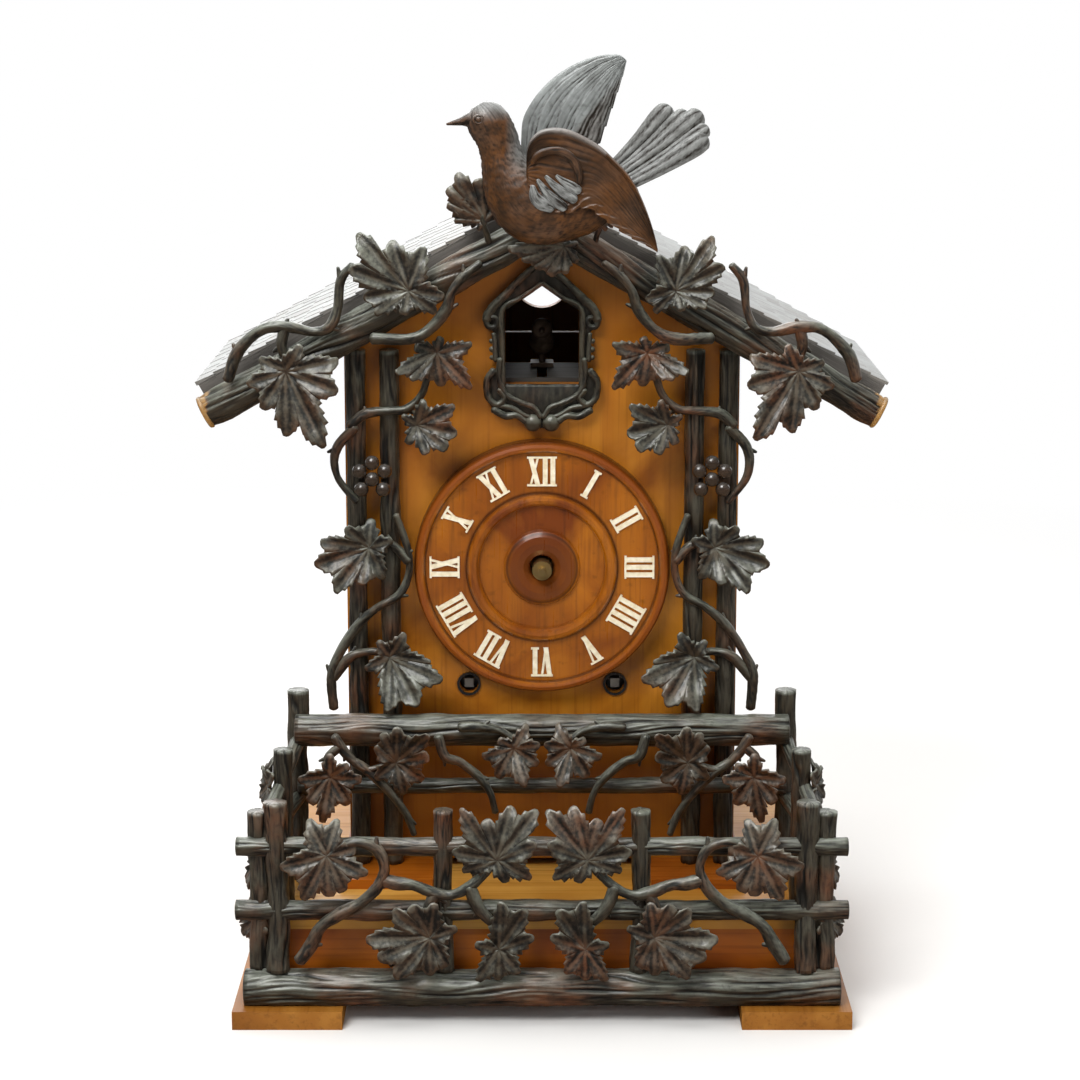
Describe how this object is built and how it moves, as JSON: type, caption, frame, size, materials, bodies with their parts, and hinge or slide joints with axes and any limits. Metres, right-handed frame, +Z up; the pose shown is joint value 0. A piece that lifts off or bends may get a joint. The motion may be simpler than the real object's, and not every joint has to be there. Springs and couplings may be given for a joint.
{
  "type": "cuckoo mantel clock",
  "caption": "Pitched-roof cuckoo mantel clock on a fenced base, with carved vines, a perched bird, a numbered wooden dial, hinged back door and spring-driven movement.",
  "frame": {"origin": "under the middle of the base, on the plane that the foot battens rest on", "axes": "+X to the right of the dial, +Y from the dial to the back door, +Z up"},
  "size_m": [0.412, 0.292, 0.5565],
  "materials": {
    "pale_wood": "satin",
    "honey_wood": "satin varnish",
    "carved_walnut": "waxed dark walnut",
    "inner_wood": "plain",
    "bone": "satin bone",
    "brass": "polished",
    "steel": "polished",
    "black_bush": "black"
  },
  "bodies": {
    "case": {"feet": "pale_wood", "base_front": "honey_wood", "base_boards": "inner_wood", "base_deck": "pale_wood", "plinth_blocks": "pale_wood", "case_front": "honey_wood", "case_sides": "honey_wood", "case_floor": "inner_wood", "back_gable": "honey_wood", "door_hinges": "brass", "catch_screw": "brass", "roof_panels": "carved_walnut", "ridge_cap": "carved_walnut", "bargeboards": "carved_walnut", "pillar_logs": "carved_walnut", "cuckoo_frame": "carved_walnut", "dial": "honey_wood", "dial_numerals": "bone", "winding_bushes": "black_bush", "fence_log": "carved_walnut", "front_fence": "carved_walnut", "side_fences": "carved_walnut", "upper_fence": "carved_walnut", "roof_vines": "carved_walnut", "roof_leaves": "carved_walnut", "case_vines": "carved_walnut", "case_leaves": "carved_walnut", "fence_vines": "carved_walnut", "fence_leaves": "carved_walnut", "grape_clusters": "carved_walnut", "bird_body": "carved_walnut", "bird_wings": "carved_walnut", "inner_shelves": "inner_wood", "front_plate": "brass", "back_plate": "brass", "plate_pillars": "brass", "winding_clicks": "steel", "gong": "steel", "whistles": "inner_wood"},
    "door": {"back_door": "honey_wood", "door_hinge_leaves": "brass"},
    "catch": {"door_catch": "brass"},
    "going_barrel": {"going_barrel": "brass"},
    "going_winder": {"going_winder": "steel"},
    "strike_barrel": {"strike_barrel": "brass"},
    "strike_winder": {"strike_winder": "steel"},
    "intermediate_wheel": {"intermediate_wheel": "brass"},
    "centre_arbor": {"centre_arbor": "brass"},
    "hour_wheel": {"hour_wheel": "brass"},
    "minute_wheel": {"minute_wheel": "brass"},
    "third_wheel": {"third_wheel": "brass"},
    "escape_wheel": {"escape_wheel": "brass"},
    "pallets": {"pallets": "steel"},
    "pendulum": {"pendulum": "brass"},
    "pin_wheel": {"pin_wheel": "brass"},
    "fly": {"fly": "brass"},
    "hammer": {"hammer": "steel"},
    "left_bellows_top": {"left_bellows_top": "inner_wood"},
    "right_bellows_top": {"right_bellows_top": "inner_wood"},
    "cuckoo_bird": {"cuckoo_bird": "carved_walnut"}
  },
  "joints": [
    {"name": "minute_turn", "type": "hinge", "parent": "case", "child": "centre_arbor", "pos_m": [0, 0.03, 0.2506], "axis": [0, 1, 0], "continuous": true},
    {"name": "hour_turn", "type": "hinge", "parent": "case", "child": "hour_wheel", "pos_m": [0, 0.03, 0.2506], "axis": [0, 1, 0], "continuous": true},
    {"name": "minute_wheel_turn", "type": "hinge", "parent": "case", "child": "minute_wheel", "pos_m": [-0.01804, 0.03, 0.24403], "axis": [0, 1, 0], "continuous": true},
    {"name": "intermediate_turn", "type": "hinge", "parent": "case", "child": "intermediate_wheel", "pos_m": [0.02529, 0.03, 0.2167], "axis": [0, 1, 0], "continuous": true},
    {"name": "going_barrel_turn", "type": "hinge", "parent": "case", "child": "going_barrel", "pos_m": [0.0445, 0.03, 0.176], "axis": [0, 1, 0], "continuous": true},
    {"name": "third_turn", "type": "hinge", "parent": "case", "child": "third_wheel", "pos_m": [0.01928, 0.03, 0.27371], "axis": [0, 1, 0], "continuous": true},
    {"name": "escape_turn", "type": "hinge", "parent": "case", "child": "escape_wheel", "pos_m": [0, 0.03, 0.288], "axis": [0, 1, 0], "continuous": true},
    {"name": "going_wind", "type": "hinge", "parent": "case", "child": "going_winder", "pos_m": [0.0445, 0.03, 0.176], "axis": [0, 1, 0], "continuous": true},
    {"name": "pin_wheel_turn", "type": "hinge", "parent": "case", "child": "pin_wheel", "pos_m": [-0.02529, 0.03, 0.2167], "axis": [0, 1, 0], "continuous": true},
    {"name": "strike_barrel_turn", "type": "hinge", "parent": "case", "child": "strike_barrel", "pos_m": [-0.0445, 0.03, 0.176], "axis": [0, 1, 0], "continuous": true},
    {"name": "fly_turn", "type": "hinge", "parent": "case", "child": "fly", "pos_m": [-0.05457, 0.03, 0.24597], "axis": [0, 1, 0], "continuous": true},
    {"name": "strike_wind", "type": "hinge", "parent": "case", "child": "strike_winder", "pos_m": [-0.0445, 0.03, 0.176], "axis": [0, 1, 0], "continuous": true},
    {"name": "pendulum_swing", "type": "hinge", "parent": "case", "child": "pendulum", "pos_m": [0, 0.0756, 0.309], "axis": [0, 1, 0], "range_deg": [-3, 3]},
    {"name": "pallet_rock", "type": "hinge", "parent": "case", "child": "pallets", "pos_m": [0, 0.03, 0.309], "axis": [0, 1, 0], "range_deg": [-3, 3]},
    {"name": "hammer_lift", "type": "hinge", "parent": "case", "child": "hammer", "pos_m": [-0.0665, 0.069, 0.226], "axis": [0, 1, 0], "range_deg": [0, 10]},
    {"name": "left_bellows_lift", "type": "hinge", "parent": "case", "child": "left_bellows_top", "pos_m": [-0.0955, 0.082, 0.3353], "axis": [-1, 0, 0], "range_deg": [0, 12]},
    {"name": "right_bellows_lift", "type": "hinge", "parent": "case", "child": "right_bellows_top", "pos_m": [0.0955, 0.082, 0.3353], "axis": [-1, 0, 0], "range_deg": [0, 12]},
    {"name": "cuckoo_slide", "type": "slide", "parent": "case", "child": "cuckoo_bird", "axis": [0, -1, 0], "range_m": [0, 0.05]},
    {"name": "door_swing", "type": "hinge", "parent": "case", "child": "door", "pos_m": [0.1078, 0.1389, 0.22], "axis": [0, 0, -1], "range_deg": [0, 110]},
    {"name": "catch_turn", "type": "hinge", "parent": "case", "child": "catch", "pos_m": [-0.113, 0.1375, 0.225], "axis": [0, 1, 0], "range_deg": [0, 90]}
  ],
  "couplings": [
    {"joint": "third_turn", "follows": "minute_turn", "ratio": -9.75},
    {"joint": "escape_turn", "follows": "minute_turn", "ratio": 87.75},
    {"joint": "hour_turn", "follows": "minute_turn", "ratio": 0.083333},
    {"joint": "minute_wheel_turn", "follows": "minute_turn", "ratio": -0.33333},
    {"joint": "intermediate_turn", "follows": "minute_turn", "ratio": -0.11905},
    {"joint": "going_barrel_turn", "follows": "minute_turn", "ratio": 0.018315},
    {"joint": "strike_barrel_turn", "follows": "pin_wheel_turn", "ratio": -0.15385},
    {"joint": "fly_turn", "follows": "pin_wheel_turn", "ratio": -10.5},
    {"joint": "pallet_rock", "follows": "pendulum_swing", "ratio": 1}
  ]
}
